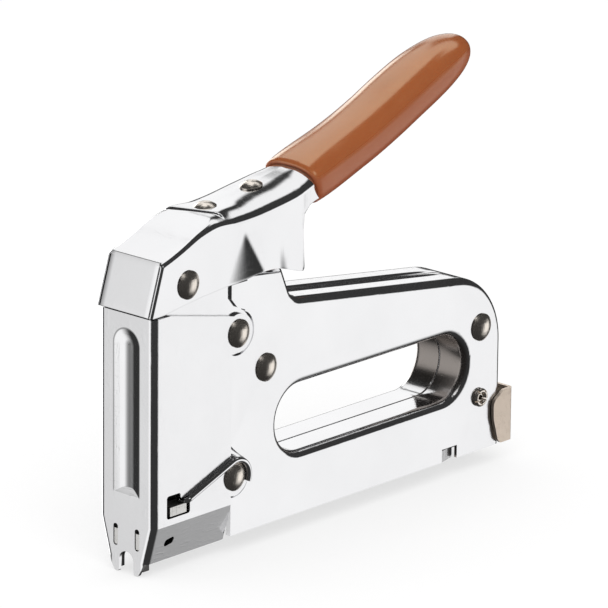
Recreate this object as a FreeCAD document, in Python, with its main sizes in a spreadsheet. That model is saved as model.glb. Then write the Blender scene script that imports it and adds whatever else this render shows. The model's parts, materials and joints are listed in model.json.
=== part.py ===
import FreeCAD, Part
import math
import os
from FreeCAD import Placement, Rotation, Vector

# Hand staple gun for round wire and cable staples.
# Frame: X runs from the nose to the rear, Y across the body, Z up the nose.
# The origin is the middle of the nose front at the level of the two nose prongs.
# "left" pieces are on the -Y side, "right" pieces on the +Y side.

SIZES = [
    ("cover_half_width", 12.7, "half width over the front cover and the handle skirt"),
    ("body_half_width", 12.3, "half width over the two housing pressings"),
    ("housing_sheet", 1.2, "housing sheet thickness"),
    ("cover_sheet", 1.2, "front cover sheet thickness"),
    ("handle_sheet", 1.0, "handle sheet thickness"),
    ("recess_depth", 0.9, "joggle in the housing under the cover and skirt"),
    ("seam_gap", 0.05, "half the gap between the two housings"),
    ("base_height", 6.6, "body bottom edge above the prong tips"),
    ("rear_end", 179.6, "rear edge of the housing"),
    ("rail_front_height", 84.7, "top of the rail where it meets the hump"),
    ("rail_front", 69.5, "where the rail meets the hump"),
    ("rail_drop", 7.9, "slope of the rail top in degrees"),
    ("rear_arc", 27.0, "rear corner radius of the rail"),
    ("edge_round", 3.0, "radius of the pressed outer edges"),
    ("seam_round", 0.45, "radius where the two flanges meet"),
    ("hand_hole_front", 74.0, "front centre of the hand hole"),
    ("hand_hole_rear", 147.8, "rear centre of the hand hole"),
    ("hand_hole_height", 40.9, "height of the hand hole centre line"),
    ("hand_hole_clear", 12.1, "clear half height of the hand hole"),
    ("rivet_head", 5.0, "body rivet head radius"),
    ("rivet_dome", 1.9, "body rivet dome height"),
    ("rivet_shank", 2.5, "body rivet shank radius"),
    ("running", 0.05, "running clearance on radius"),
    ("pivot_across", 16.6, "handle pivot behind the nose"),
    ("pivot_height", 101.0, "handle pivot height"),
    ("notch_half", 3.3, "half width of the wire notch"),
    ("notch_centre", 4.5, "height of the notch arc centre"),
    ("wire_radius", 1.0, "guide spring wire radius"),
    ("plunger_thick", 3.0, "plunger bar thickness"),
    ("blade_thick", 1.2, "driver blade thickness"),
    ("blade_half", 3.8, "half width of the driver blade"),
    ("lever_thick", 4.0, "lift lever thickness"),
    ("coil_radius", 4.9, "main spring mean radius"),
    ("coil_wire", 1.0, "main spring wire radius"),
    ("track_half", 5.2, "half width of the magazine channel"),
    ("track_sheet", 1.2, "magazine sheet thickness"),
    ("core_half", 3.0, "half width of the staple core rail"),
    ("rod_radius", 1.2, "pusher rod radius"),
    ("rod_height", 11.6, "height of the pusher rod"),
]

doc = FreeCAD.newDocument("StapleGun")
sheet = doc.addObject("Spreadsheet::Sheet", "Sizes")
for row, (alias, value, note) in enumerate(SIZES, start=1):
    sheet.set("A%d" % row, note)
    sheet.set("B%d" % row, str(value))
    sheet.setAlias("B%d" % row, alias)
doc.recompute()


def size(alias):
    """Value of a size in the sheet, in mm or degrees."""
    return float(sheet.get(alias))


COVER_HALF = size("cover_half_width")
BODY_HALF = size("body_half_width")
SHEET = size("housing_sheet")
COVER_SHEET = size("cover_sheet")
HANDLE_SHEET = size("handle_sheet")
RECESS = size("recess_depth")
SEAM = size("seam_gap")
BASE = size("base_height")
REAR = size("rear_end")
RUN = size("running")
RAIL_SLOPE = math.tan(math.radians(size("rail_drop")))

# Rivets through the body, as (X, Z).
PIVOT = (size("pivot_across"), size("pivot_height"))
UPPER_RIVET = (41.5, 78.5)
MIDDLE_RIVET = (55.7, 63.2)
LOWER_RIVET = (39.8, 27.8)
REAR_RIVET = (168.0, 52.5)
CLINCH_RIVET = (167.7, 26.5)

parts = []


# ---------------------------------------------------------------- helpers

def rounded(corners):
    """Lines and arcs of a closed flat outline; each corner is (u, v, radius)."""
    count = len(corners)
    starts, ends, arcs = [], [], []
    for index in range(count):
        u, v, radius = corners[index]
        here = Vector(u, v, 0)
        before = Vector(corners[index - 1][0], corners[index - 1][1], 0)
        after = Vector(corners[(index + 1) % count][0], corners[(index + 1) % count][1], 0)
        if radius <= 0:
            starts.append(here)
            ends.append(here)
            arcs.append(None)
            continue
        back = (before - here).normalize()
        ahead = (after - here).normalize()
        half = back.getAngle(ahead) / 2
        reach = radius / math.tan(half)
        middle = (back + ahead).normalize()
        centre = here + middle * (radius / math.sin(half))
        starts.append(here + back * reach)
        ends.append(here + ahead * reach)
        arcs.append(Part.Arc(starts[-1], centre - middle * radius, ends[-1]))
    pieces = []
    for index in range(count):
        if arcs[index] is not None:
            pieces.append(arcs[index])
        leave = ends[index]
        arrive = starts[(index + 1) % count]
        if leave.distanceToPoint(arrive) > 1e-5:
            pieces.append(Part.LineSegment(leave, arrive))
    return pieces


def inset(corners, distances):
    """Move each edge of a counter-clockwise outline inwards by its own distance.

    Edge i runs from corner i to corner i + 1. Radii follow the distance where the
    two edges at a corner move alike, otherwise the corner becomes sharp.
    """
    count = len(corners)
    lines = []
    for index in range(count):
        start = Vector(corners[index][0], corners[index][1], 0)
        end = Vector(corners[(index + 1) % count][0], corners[(index + 1) % count][1], 0)
        along = (end - start).normalize()
        inward = Vector(-along.y, along.x, 0)
        lines.append((start + inward * distances[index], along))
    moved = []
    for index in range(count):
        point_a, along_a = lines[index - 1]
        point_b, along_b = lines[index]
        turn = along_a.x * along_b.y - along_a.y * along_b.x
        gap = point_b - point_a
        reach = (gap.x * along_b.y - gap.y * along_b.x) / turn
        corner = point_a + along_a * reach
        radius = 0.0
        if corners[index][2] > 0 and distances[index - 1] == distances[index]:
            shift = distances[index] if turn > 0 else -distances[index]
            radius = max(corners[index][2] - shift, 0.0)
        moved.append((corner.x, corner.y, radius))
    return moved


def face_of(pieces):
    """Flat face bounded by lines and arcs."""
    return Part.Face(Part.Wire(Part.__sortEdges__([piece.toShape() for piece in pieces])))


def side_prism(corners, low_y, high_y):
    """Solid with an outline drawn in X and Z, from low_y to high_y."""
    face = face_of(rounded(corners))
    face.Placement = Placement(Vector(0, high_y, 0), Rotation(Vector(1, 0, 0), 90))
    return face.extrude(Vector(0, low_y - high_y, 0))


def front_prism(corners, low_x, high_x):
    """Solid with an outline drawn in Y and Z, from low_x to high_x."""
    face = face_of(rounded(corners))
    face.Placement = Placement(Vector(low_x, 0, 0), Rotation(Vector(1, 1, 1), 120))
    return face.extrude(Vector(high_x - low_x, 0, 0))


def block(low, high):
    """Box between two corners."""
    return Part.makeBox(high[0] - low[0], high[1] - low[1], high[2] - low[2], Vector(*low))


def cross_pin(place, radius, low_y, high_y):
    """Cylinder across the body at (X, Z)."""
    return Part.makeCylinder(radius, high_y - low_y, Vector(place[0], low_y, place[1]), Vector(0, 1, 0))


def box_outline(low_u, low_v, high_u, high_v, radius=0.0):
    """Rectangle as outline corners."""
    return [(low_u, low_v, radius), (high_u, low_v, radius), (high_u, high_v, radius),
            (low_u, high_v, radius)]


def keep(label, shape):
    """Store a formed piece under its own label."""
    shape = shape.removeSplitter()
    made = doc.addObject("Part::Feature", label)
    made.Label = label
    made.Shape = shape
    made.Placement = Placement()
    parts.append(made)
    return made


def origin_plane(body, role):
    """Origin plane of a body by its role."""
    return [feature for feature in body.Origin.OriginFeatures if feature.Role == role][0]


def new_body(label):
    """PartDesign body that is stored under its label."""
    body = doc.addObject("PartDesign::Body", label)
    body.Label = label
    parts.append(body)
    return body


def new_sketch(body, role, pieces, offset=None):
    """Sketch on an origin plane; offset is an expression along the plane's normal."""
    sketch = body.newObject("Sketcher::SketchObject", body.Label + "_outline")
    sketch.AttachmentSupport = (origin_plane(body, role), [""])
    sketch.MapMode = "FlatFace"
    for piece in pieces:
        sketch.addGeometry(piece)
    if offset is not None:
        sketch.setExpression("AttachmentOffset.Base.z", offset)
    return sketch


def pad(body, sketch, length, reverse=False, both=False):
    """Pad a sketch by an expression."""
    made = body.newObject("PartDesign::Pad", body.Label + "_pad")
    made.Profile = sketch
    made.setExpression("Length", length)
    made.Reversed = reverse
    if both:
        made.SideType = "Symmetric"
    doc.recompute()
    return made


def pocket(body, sketch, length, reverse=False, both=False):
    """Cut a sketch away by an expression."""
    made = body.newObject("PartDesign::Pocket", body.Label + "_pocket")
    made.Profile = sketch
    made.setExpression("Length", length)
    made.Reversed = reverse
    if both:
        made.SideType = "Symmetric"
    before = body.Shape.Volume
    doc.recompute()
    if not body.Shape.Volume < before - 1e-3:
        raise RuntimeError(made.Name + " cuts nothing")
    return made


def ring(place, radius):
    """Circle for a sketch."""
    return Part.Circle(Vector(place[0], place[1], 0), Vector(0, 0, 1), radius)


def slot(front, rear, height, radius):
    """Long round-ended hole for a sketch, along the first sketch axis."""
    return [
        Part.LineSegment(Vector(front, height + radius, 0), Vector(rear, height + radius, 0)),
        Part.Arc(Vector(rear, height + radius, 0), Vector(rear + radius, height, 0),
                 Vector(rear, height - radius, 0)),
        Part.LineSegment(Vector(rear, height - radius, 0), Vector(front, height - radius, 0)),
        Part.Arc(Vector(front, height - radius, 0), Vector(front - radius, height, 0),
                 Vector(front, height + radius, 0)),
    ]


def rail_top(across):
    """Height of the rail's top at a given X."""
    return size("rail_front_height") - RAIL_SLOPE * (across - size("rail_front"))


# ---------------------------------------------------------------- housings

FRONT = 1.6
HOUSING = [
    (FRONT, BASE, 0.0),
    (REAR, BASE, 0.0),
    (REAR, rail_top(REAR), size("rear_arc")),
    (size("rail_front"), size("rail_front_height"), 6.0),
    (64.2, 97.4, 3.5),
    (47.0, 99.4, 8.0),
    (37.0, 107.0, 8.0),
    (7.2, 107.5, 5.0),
    (FRONT, 90.0, 4.0),
]
# Open at the bottom, over the top of the hump and at the front; flanged elsewhere.
CAVITY = inset(HOUSING, [-4.0, SHEET, SHEET, SHEET, -3.0, -3.0, -3.0, -3.0, -3.0])
SPLIT = 46.2
MOUTH_TOP = 20.6
BODY_HOLES = (UPPER_RIVET, MIDDLE_RIVET, LOWER_RIVET, REAR_RIVET, PIVOT, CLINCH_RIVET)
WING_REAR = 38.0
TAB_FRONT = 148.0
TAB_REAR = 156.0
EAR_RADIUS = 6.9
STEP = 0.3


def housing(label, reverse):
    """One housing pressing: side wall, rim flange and the flange round the hand hole."""
    body = new_body(label)
    hole = [size("hand_hole_front"), size("hand_hole_rear"), size("hand_hole_height")]
    clear = size("hand_hole_clear")
    outer = new_sketch(body, "XZ_Plane", rounded(HOUSING) + slot(hole[0], hole[1], hole[2], clear),
                       "-Sizes.seam_gap" if reverse else "Sizes.seam_gap")
    made = pad(body, outer, "Sizes.body_half_width - Sizes.seam_gap", reverse)
    side = BODY_HALF if reverse else -BODY_HALF
    seam = SEAM if reverse else -SEAM
    for name, level, radius in (("_rim", side, "Sizes.edge_round"), ("_seam", seam, "Sizes.seam_round")):
        edges = []
        for number, edge in enumerate(made.Shape.Edges, start=1):
            box = edge.BoundBox
            on_level = abs(box.YMin - level) < 1e-4 and abs(box.YMax - level) < 1e-4
            if on_level and box.XMin > 62.0 and box.ZMax > BASE + 0.5:
                edges.append("Edge%d" % number)
        rounding = body.newObject("PartDesign::Fillet", label + name)
        rounding.Base = (made, edges)
        rounding.setExpression("Radius", radius)
        doc.recompute()
        made = rounding
    # The cavity is shallower in front of SPLIT, where the side wall is joggled inwards.
    inner_front = [
        (SPLIT, BASE - 4.0, 0.0), (SPLIT, 112.0, 0.0), (FRONT - 4.0, 112.0, 0.0),
        (FRONT - 4.0, BASE - 4.0, 0.0),
    ]
    shallow = new_sketch(body, "XZ_Plane", rounded(inner_front))
    pocket(body, shallow, "Sizes.body_half_width - Sizes.recess_depth - Sizes.housing_sheet", not reverse)
    inner_rear = [
        (SPLIT - 0.5, BASE - 4.0, 0.0), CAVITY[1], CAVITY[2], CAVITY[3], CAVITY[4], (58.0, 112.0, 0.0),
        (SPLIT - 0.5, 112.0, 0.0),
    ]
    inner = new_sketch(body, "XZ_Plane", rounded(inner_rear) + slot(hole[0], hole[1], hole[2], clear + SHEET))
    pocket(body, inner, "Sizes.body_half_width - Sizes.housing_sheet", not reverse)
    # Joggle under the front cover wing, its two ears and the handle skirt.
    face = "-Sizes.body_half_width" if reverse else "Sizes.body_half_width"
    step_x = WING_REAR + STEP
    regions = [
        rounded([(-2.0, 2.0, 0.0), (step_x, 2.0, 0.0), (step_x, 96.0, 0.0), (SPLIT - 0.2, 96.0, 0.0),
                 (SPLIT - 0.2, 115.0, 0.0), (-2.0, 115.0, 0.0)]),
        [ring(UPPER_RIVET, EAR_RADIUS + 1.1)],
        rounded([(36.0, 78.0, 0.0), (45.0, 78.0, 0.0), (45.0, 86.1, 0.0), (41.2, 87.6, 2.0),
                 (step_x, 91.0, 1.0),
                 (36.0, 91.0, 0.0)]),
        [ring(LOWER_RIVET, EAR_RADIUS + 0.7)],
        rounded([(36.0, 28.0, 0.0), (43.0, 28.0, 0.0), (43.9, 34.2, 0.0), (41.0, 36.4, 2.0),
                 (step_x, 39.0, 1.0),
                 (36.0, 39.0, 0.0)]),
    ]
    for region in regions:
        recess = new_sketch(body, "XZ_Plane", region, face)
        pocket(body, recess, "Sizes.recess_depth", reverse)
    # Cut away round the slanted nose, the guide lugs and the spring anchor.
    openings = [
        rounded(box_outline(-2.0, 2.0, step_x, 18.9)),
        rounded(box_outline(5.4, 18.0, 18.9, 29.4, 1.0)),
        rounded(box_outline(TAB_FRONT, 2.0, TAB_REAR, 11.4)),
    ]
    for opening in openings:
        gap = new_sketch(body, "XZ_Plane", opening)
        pocket(body, gap, "Sizes.body_half_width + 1", not reverse)
    # A lanced tab in the base, bent inwards behind its front edge.
    out = -BODY_HALF
    bent = [
        (TAB_FRONT - 0.6, out), (TAB_REAR - 0.6, out + 1.9), (TAB_REAR - 0.6, out + 2.9),
        (TAB_FRONT - 0.6, out + 1.1),
    ]
    turn = -1.0 if reverse else 1.0
    tab = new_sketch(body, "XY_Plane", rounded([(across, turn * depth, 0.0) for across, depth in bent]),
                     "Sizes.base_height")
    pad(body, tab, "4.2")
    mouth = new_sketch(body, "XZ_Plane", rounded(box_outline(174.0, BASE - 3.0, REAR + 3.0, MOUTH_TOP)))
    pocket(body, mouth, "Sizes.track_half + 0.8", not reverse)
    rings = [ring(place, size("rivet_shank") + RUN) for place in BODY_HOLES]
    drilled = new_sketch(body, "XZ_Plane", rings)
    pocket(body, drilled, "Sizes.body_half_width + 1", not reverse)
    return body


housing("housing_left", False)
housing("housing_right", True)


# ---------------------------------------------------------------- front cover

CREASE = 18.1
SKEW_HALF = 9.0
SKEW_BASE = 4.8
COVER_TOP = 91.8


def cover_section(half, skew, top, low):
    """Cross outline of the cover in Y and Z: straight sides that slant in at the nose."""
    return [
        (-skew, low, 0.0), (skew, low, 0.0), (skew, SKEW_BASE, 0.0), (half, CREASE, 0.0),
        (half, top, 0.0), (-half, top, 0.0), (-half, CREASE, 0.0), (-skew, SKEW_BASE, 0.0),
    ]


def bend_front(solid, front, radius):
    """Round the upright and slanted edges where the front plate meets the sides."""
    chosen = []
    for edge in solid.Edges:
        box = edge.BoundBox
        upright = box.ZLength > 5.0
        if upright and abs(box.XMin - front) < 1e-4 and abs(box.XMax - front) < 1e-4:
            chosen.append(edge)
    return solid.makeFillet(radius, chosen)


GROOVE_HALF = 5.9
GROOVE_WALL = math.radians(18.0)
GROOVE_BOTTOM = 12.0
GROOVE_LOW = 28.0
GROOVE_TOP = 86.6
GROOVE_END_SLOPE = 2.0


def groove_solid(grow):
    """Trough of a rounded V with a coned upper end and slanted lower end, grown by the sheet for its back."""
    ahead = 2.0
    half = GROOVE_HALF + grow / math.sin(GROOVE_WALL)
    radius = GROOVE_BOTTOM + grow
    centre = half * math.tan(GROOVE_WALL) - radius / math.cos(GROOVE_WALL)
    opening = Vector(-ahead, half + ahead / math.tan(GROOVE_WALL), 0)
    touch = Vector(centre + radius * math.cos(GROOVE_WALL), radius * math.sin(GROOVE_WALL), 0)
    bottom = Vector(centre + radius, 0, 0)
    axis = Vector(-ahead, 0, 0)
    middle = Vector(centre + radius * math.cos(GROOVE_WALL / 2), radius * math.sin(GROOVE_WALL / 2), 0)
    profile = Part.Face(Part.Wire([
        Part.makeLine(axis, opening), Part.makeLine(opening, touch),
        Part.Arc(touch, middle, bottom).toShape(),
        Part.makeLine(bottom, axis),
    ]))
    dome_height = GROOVE_TOP - GROOVE_HALF
    dome = profile.revolve(Vector(0, 0, 0), Vector(1, 0, 0), 360)
    dome.translate(Vector(0, 0, dome_height))
    side = profile.extrude(Vector(0, 0, dome_height))
    trough = side.fuse(side.mirror(Vector(0, 0, 0), Vector(0, 1, 0))).fuse(dome)
    low = GROOVE_LOW - 1.2 * grow
    return trough.common(side_prism([
        (-ahead, low - ahead * GROOVE_END_SLOPE, 0.0), (4.0, low + 4.0 * GROOVE_END_SLOPE, 0.0),
        (4.0, 98.0, 0.0),
        (-ahead, 98.0, 0.0),
    ], -20.0, 20.0)).removeSplitter()


def make_cover():
    outer = front_prism(cover_section(COVER_HALF, SKEW_HALF, 120.0, -5.0), 0.0, 60.0)
    outer = bend_front(outer, 0.0, 2.4)
    inner = front_prism(cover_section(COVER_HALF - COVER_SHEET, SKEW_HALF - COVER_SHEET, 121.0, -6.0),
                        COVER_SHEET, 61.0)
    inner = bend_front(inner, COVER_SHEET, 1.2)
    shell = outer.cut(inner)
    wing = [
        (-1.0, SKEW_BASE, 0.0), (WING_REAR, SKEW_BASE, 0.0), (WING_REAR, 70.0, 0.0),
        (WING_REAR + 1.0, 85.0, 0.0), (8.0, 91.9, 4.0), (-1.0, COVER_TOP, 0.0),
    ]
    outline = side_prism(wing, -20.0, 20.0)
    for place in (UPPER_RIVET, LOWER_RIVET):
        outline = outline.fuse(cross_pin(place, EAR_RADIUS, -20.0, 20.0))
    # Two prongs stand below the wings at the front.
    prongs = [
        (-6.9, 2.4, 0.0), (-5.4, 0.0, 1.2), (-3.6, 0.0, 0.6), (-3.3, 4.0, 0.0), (3.3, 4.0, 0.0),
        (3.6, 0.0, 0.6),
        (5.4, 0.0, 1.2), (6.9, 2.4, 0.0), (8.3, 6.0, 0.0), (-8.3, 6.0, 0.0),
    ]
    front_only = front_prism(prongs, -0.5, COVER_SHEET)
    shell = shell.common(outline.fuse(front_only))
    # Wire notch, two guide slots and the pressed groove in the front plate.
    notch = front_prism([(-size("notch_half"), -3.0, 0.0), (size("notch_half"), -3.0, 0.0),
                         (size("notch_half"), size("notch_centre") + 3.25, 3.2),
                         (-size("notch_half"), size("notch_centre") + 3.25, 3.2)], -3.0, 4.0)
    shell = shell.cut(notch)
    for side in (-5.0, 5.0):
        window = front_prism(box_outline(side - 1.05, 9.0, side + 1.05, 16.8, 1.0), -3.0, 4.0)
        shell = shell.cut(window)
    behind_plate = block((COVER_SHEET - 0.1, -20.0, 0.0), (9.0, 20.0, 99.0))
    shell = shell.fuse(groove_solid(COVER_SHEET).common(behind_plate))
    shell = shell.cut(groove_solid(0.0))
    rim = [edge for edge in shell.Edges if edge.BoundBox.XMax < 1e-4 and edge.BoundBox.ZMin > GROOVE_LOW - 1.0
           and max(abs(edge.BoundBox.YMin), abs(edge.BoundBox.YMax)) < GROOVE_HALF + 0.5]
    shell = shell.makeFillet(0.5, rim)
    # Side windows: the guide lug's and a small inclined slot in the slanted part.
    lug_window = [
        (6.5, 20.4, 1.0), (17.8, 20.4, 1.0), (17.8, 26.7, 1.0), (13.2, 26.7, 0.5), (13.2, 28.6, 0.9),
        (6.5, 28.6, 1.0),
    ]
    shell = shell.cut(side_prism(lug_window, -20.0, 20.0))
    small = side_prism([(6.6, 9.9, 1.0), (11.2, 10.7, 1.0), (12.2, 13.4, 1.0), (7.6, 12.6, 1.0)], -20.0, 20.0)
    shell = shell.cut(small)
    for place in (UPPER_RIVET, LOWER_RIVET):
        shell = shell.cut(cross_pin(place, size("rivet_shank") + RUN, -20.0, 20.0))
    return keep("front_cover", shell)


make_cover()


# ---------------------------------------------------------------- handle

def blend(value, table):
    """Smooth value from a table of (place, value) rows."""
    if value <= table[0][0]:
        return table[0][1]
    for (low, first), (high, last) in zip(table, table[1:]):
        if value <= high:
            part = (value - low) / (high - low)
            return first + (last - first) * part
    return table[-1][1]


# Ridge line, corner radius and half widths along the handle.
RIDGE = [(-4.0, 109.6), (4.6, 112.3), (16.0, 115.5), (26.0, 118.7), (32.0, 120.5), (40.0, 121.3),
         (50.0, 122.3),
         (60.0, 123.7), (70.0, 125.2), (80.0, 127.4), (90.0, 130.8), (100.0, 134.2), (113.0, 139.2),
         (134.0, 148.2),
         (147.0, 153.6), (160.0, 157.0)]
CORNER = [(-4.0, 1.7), (20.0, 1.9), (32.0, 2.4), (40.0, 3.2), (50.0, 4.4), (60.0, 5.8), (70.0, 7.0),
          (80.0, 7.4)]
TOP_HALF = [(36.5, 12.7), (39.5, 13.05), (46.0, 13.4), (66.0, 13.4), (72.0, 13.0), (76.0, 12.0), (82.0, 11.0),
            (134.0, 10.4), (150.0, 9.4), (160.0, 7.8)]
FOOT_HALF = [(36.5, 12.7), (39.5, 13.75), (46.0, 14.4), (54.0, 14.9), (68.0, 14.8), (72.0, 14.2),
             (76.0, 12.8),
             (82.0, 11.0), (134.0, 10.4), (150.0, 9.4), (160.0, 7.8)]
FOOT_LEVEL = 95.0
TANG_DEPTH = 12.0
HANDLE_REAR = 158.0


def handle_section(across, shrink):
    """Closed outline of the handle's envelope at X; shrink is the sheet thickness or 0."""
    ridge = blend(across, RIDGE) - shrink
    top = blend(across, TOP_HALF) - shrink
    foot = blend(across, FOOT_HALF) - shrink
    radius = max(blend(across, CORNER) - shrink, 0.4)
    low = 60.0
    spread = (foot - top) / (ridge - radius - FOOT_LEVEL)
    low_half = top + spread * (ridge - radius - low)
    low_half = min(low_half, foot + 1.5)
    shoulder = ridge - radius
    turn = math.sqrt(0.5) * radius
    points = [
        Vector(across, -low_half, low), Vector(across, low_half, low), Vector(across, top, shoulder),
        Vector(across, top - radius, ridge), Vector(across, -top + radius, ridge),
        Vector(across, -top, shoulder),
    ]
    right_mid = Vector(across, top - radius + turn, shoulder + turn)
    left_mid = Vector(across, -top + radius - turn, shoulder + turn)
    edges = [
        Part.LineSegment(points[0], points[1]).toShape(),
        Part.LineSegment(points[1], points[2]).toShape(),
        Part.Arc(points[2], right_mid, points[3]).toShape(),
        Part.LineSegment(points[3], points[4]).toShape(),
        Part.Arc(points[4], left_mid, points[5]).toShape(),
        Part.LineSegment(points[5], points[0]).toShape(),
    ]
    return Part.Wire(edges)


HANDLE_STATIONS = [-4.0, 4.6, 16.0, 26.0, 32.0, 36.5, 39.5, 46.0, 53.0, 61.0, 68.0, 72.0, 76.0, 82.0, 90.0,
                   100.0,
                   113.0, 134.0, 150.0, 160.0]


def handle_envelope(shrink):
    wires = [handle_section(across, shrink) for across in HANDLE_STATIONS]
    return Part.makeLoft(wires, True, True)


HOOD_LEAN = [(-1.3, 92.7), (5.0, 112.4)]
SKIRT_FOOT = [(5.7, 92.7, 4.0), (20.7, 95.4, 20.0), (36.9, 98.3, 12.0), (53.2, 98.5, 14.0), (71.6, 94.0, 1.2)]
SKIRT_REAR = [(72.6, 106.0, 12.0), (75.5, 115.6, 4.0), (84.0, 117.2, 6.0)]


def handle_outline():
    """Side outline of the handle sheet."""
    foot_z = SKIRT_FOOT[0][1]
    lean = (HOOD_LEAN[1][0] - HOOD_LEAN[0][0]) / (HOOD_LEAN[1][1] - HOOD_LEAN[0][1])
    low_x = HOOD_LEAN[0][0]
    high_x = low_x + lean * (175.0 - foot_z)
    under = [(across, blend(across, RIDGE) - TANG_DEPTH, 6.0) for across in (100.0, 134.0, 147.0)]
    return ([(low_x, foot_z, 0.0)] + SKIRT_FOOT + SKIRT_REAR + under
            + [(HANDLE_REAR, 145.6, 0.0), (HANDLE_REAR, 175.0, 0.0), (high_x, 175.0, 0.0)])


TOP_RIVETS = (38.0, 60.8)
TOP_SHANK = 1.5


def on_top(across):
    """Placement on the handle's ridge at X, with its Z square to the sheet."""
    slope = (blend(across + 3.0, RIDGE) - blend(across - 3.0, RIDGE)) / 6.0
    return Placement(Vector(across, 0, blend(across, RIDGE)),
                     Rotation(Vector(0, 1, 0), -math.degrees(math.atan(slope))))


def top_rivet_hole(across):
    """Cutter for the rivet shank through the handle sheet and the channel."""
    hole = Part.makeCylinder(TOP_SHANK + RUN, 20.0, Vector(0, 0, -10.0), Vector(0, 0, 1))
    hole.Placement = on_top(across)
    return hole


def make_handle_shell():
    outer = handle_envelope(0.0).common(side_prism(handle_outline(), -20.0, 20.0))
    lean = (HOOD_LEAN[1][0] - HOOD_LEAN[0][0]) / (HOOD_LEAN[1][1] - HOOD_LEAN[0][1])
    low, high = 52.7, 180.0
    foot_x = HOOD_LEAN[0][0] + HANDLE_SHEET * math.hypot(1.0, lean)
    front_low = foot_x + lean * (low - HOOD_LEAN[0][1])
    front_high = foot_x + lean * (high - HOOD_LEAN[0][1])
    rear = HANDLE_REAR - 4.0
    inner_side = [(front_low, low, 0.0), (rear, low, 0.0), (rear, high, 0.0), (front_high, high, 0.0)]
    inner = handle_envelope(HANDLE_SHEET).common(side_prism(inner_side, -20.0, 20.0))
    shell = outer.cut(inner)
    shell = shell.cut(cross_pin(PIVOT, size("rivet_shank") + RUN, -20.0, 20.0))
    for across in TOP_RIVETS:
        shell = shell.cut(top_rivet_hole(across))
    return keep("handle_shell", shell)


make_handle_shell()

# Grip sleeve: middle line, half height and half width at stations along the handle.
GRIP = [
    (81.3, 121.0, 7.9, 12.3), (86.0, 122.6, 8.3, 12.6), (93.0, 124.8, 8.6, 12.5), (103.0, 128.0, 8.6, 12.2),
    (113.0, 131.5, 8.6, 12.0), (124.0, 136.0, 8.6, 11.9), (134.0, 140.6, 8.6, 11.9),
    (145.0, 145.4, 8.5, 11.6),
    (153.0, 148.6, 8.1, 10.9), (160.0, 151.3, 7.0, 9.4), (164.5, 152.9, 5.6, 7.6), (167.3, 153.8, 4.0, 5.4),
    (168.9, 154.3, 2.0, 2.8),
]


def grip_wire(index):
    """Closed section of the grip across its middle line."""
    across, height, half_high, half_wide = GRIP[index]
    before = GRIP[max(index - 1, 0)]
    after = GRIP[min(index + 1, len(GRIP) - 1)]
    lean = math.atan2(after[1] - before[1], after[0] - before[0])
    middle = Vector(across, 0, height)
    # An arch over a flatter underside, with generous corners.
    shoulder = half_high * 0.96
    heel = half_high * 0.7
    flat = []
    for piece in rounded([(-half_wide, -half_high, heel), (half_wide, -half_high, heel),
                          (half_wide, half_high, shoulder), (-half_wide, half_high, shoulder)]):
        flat.append(piece.toShape())
    wire = Part.Wire(Part.__sortEdges__(flat))
    turn = Rotation(Vector(0, 1, 0), -math.degrees(lean)) * Rotation(Vector(1, 1, 1), 120)
    wire.Placement = Placement(middle, turn)
    return wire


def make_grip():
    sleeve = Part.makeLoft([grip_wire(index) for index in range(len(GRIP))], True, False)
    rear = HANDLE_REAR + RUN
    tang_outline = handle_outline()[:-3] + [(rear, 145.6, 0.0), (rear, 175.0, 0.0), (40.0, 175.0, 0.0)]
    tang = handle_envelope(-RUN).common(side_prism(tang_outline, -20.0, 20.0))
    return keep("handle_grip", sleeve.cut(tang))


make_grip()


CAM_PIN = (46.6, 103.2)


def make_handle_channel():
    """Inverted channel riveted under the handle's top; its cross pin works the lift lever."""
    wires = []
    for across in (30.0, 41.0, 50.0, 60.0, 69.0):
        top = blend(across, RIDGE) - HANDLE_SHEET - 0.4
        outline = rounded([(-8.0, 99.6, 0.0), (8.0, 99.6, 0.0), (8.0, top, 2.0), (-8.0, top, 2.0)])
        face = face_of(outline)
        face.Placement = Placement(Vector(across, 0, 0), Rotation(Vector(1, 1, 1), 120))
        wires.append(face.Wires[0])
    outer = Part.makeLoft(wires, True, True)
    inner = block((20.0, -6.4, 90.0), (80.0, 6.4, 117.0))
    ridge = side_prism([(29.0, 100.0, 0.0), (70.0, 100.0, 0.0), (70.0, blend(70.0, RIDGE) - 3.2, 0.0),
                        (41.0, blend(41.0, RIDGE) - 3.2, 0.0), (29.0, blend(29.0, RIDGE) - 3.2, 0.0)], -6.4,
                        6.4)
    sides = side_prism([(30.5, 112.0, 3.0), (40.5, 100.0, 3.0), (51.0, 99.8, 3.0), (56.0, 111.0, 3.0),
                        (65.0, 118.5, 2.0), (65.2, 140.0, 0.0), (30.2, 140.0, 0.0)], -9.0, 9.0)
    channel = outer.cut(inner.fuse(ridge)).common(sides)
    channel = channel.cut(cross_pin(CAM_PIN, 3.0 + 0.02, -9.0, 9.0))
    for across in TOP_RIVETS:
        channel = channel.cut(top_rivet_hole(across))
    return keep("handle_channel", channel)


make_handle_channel()


# ---------------------------------------------------------------- rivets and bushings

def domed_rivet(place, half):
    """Rivet across the body with a low domed head at each end."""
    head = size("rivet_head")
    dome = size("rivet_dome")
    ball = (head * head + dome * dome) / (2 * dome)
    rivet = cross_pin(place, size("rivet_shank"), -half - 0.4, half + 0.4)
    for sign in (-1, 1):
        centre = Vector(place[0], sign * (half + 0.45 + dome - ball), place[1])
        cap = Part.makeSphere(ball, centre)
        if sign > 0:
            keep_side = cross_pin(place, head, half + 0.45, half + 10.0)
            rim = cross_pin(place, head, half + 0.05, half + 0.45)
        else:
            keep_side = cross_pin(place, head, -half - 10.0, -half - 0.45)
            rim = cross_pin(place, head, -half - 0.45, -half - 0.05)
        rivet = rivet.fuse(rim).fuse(cap.common(keep_side))
    return rivet


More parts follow.
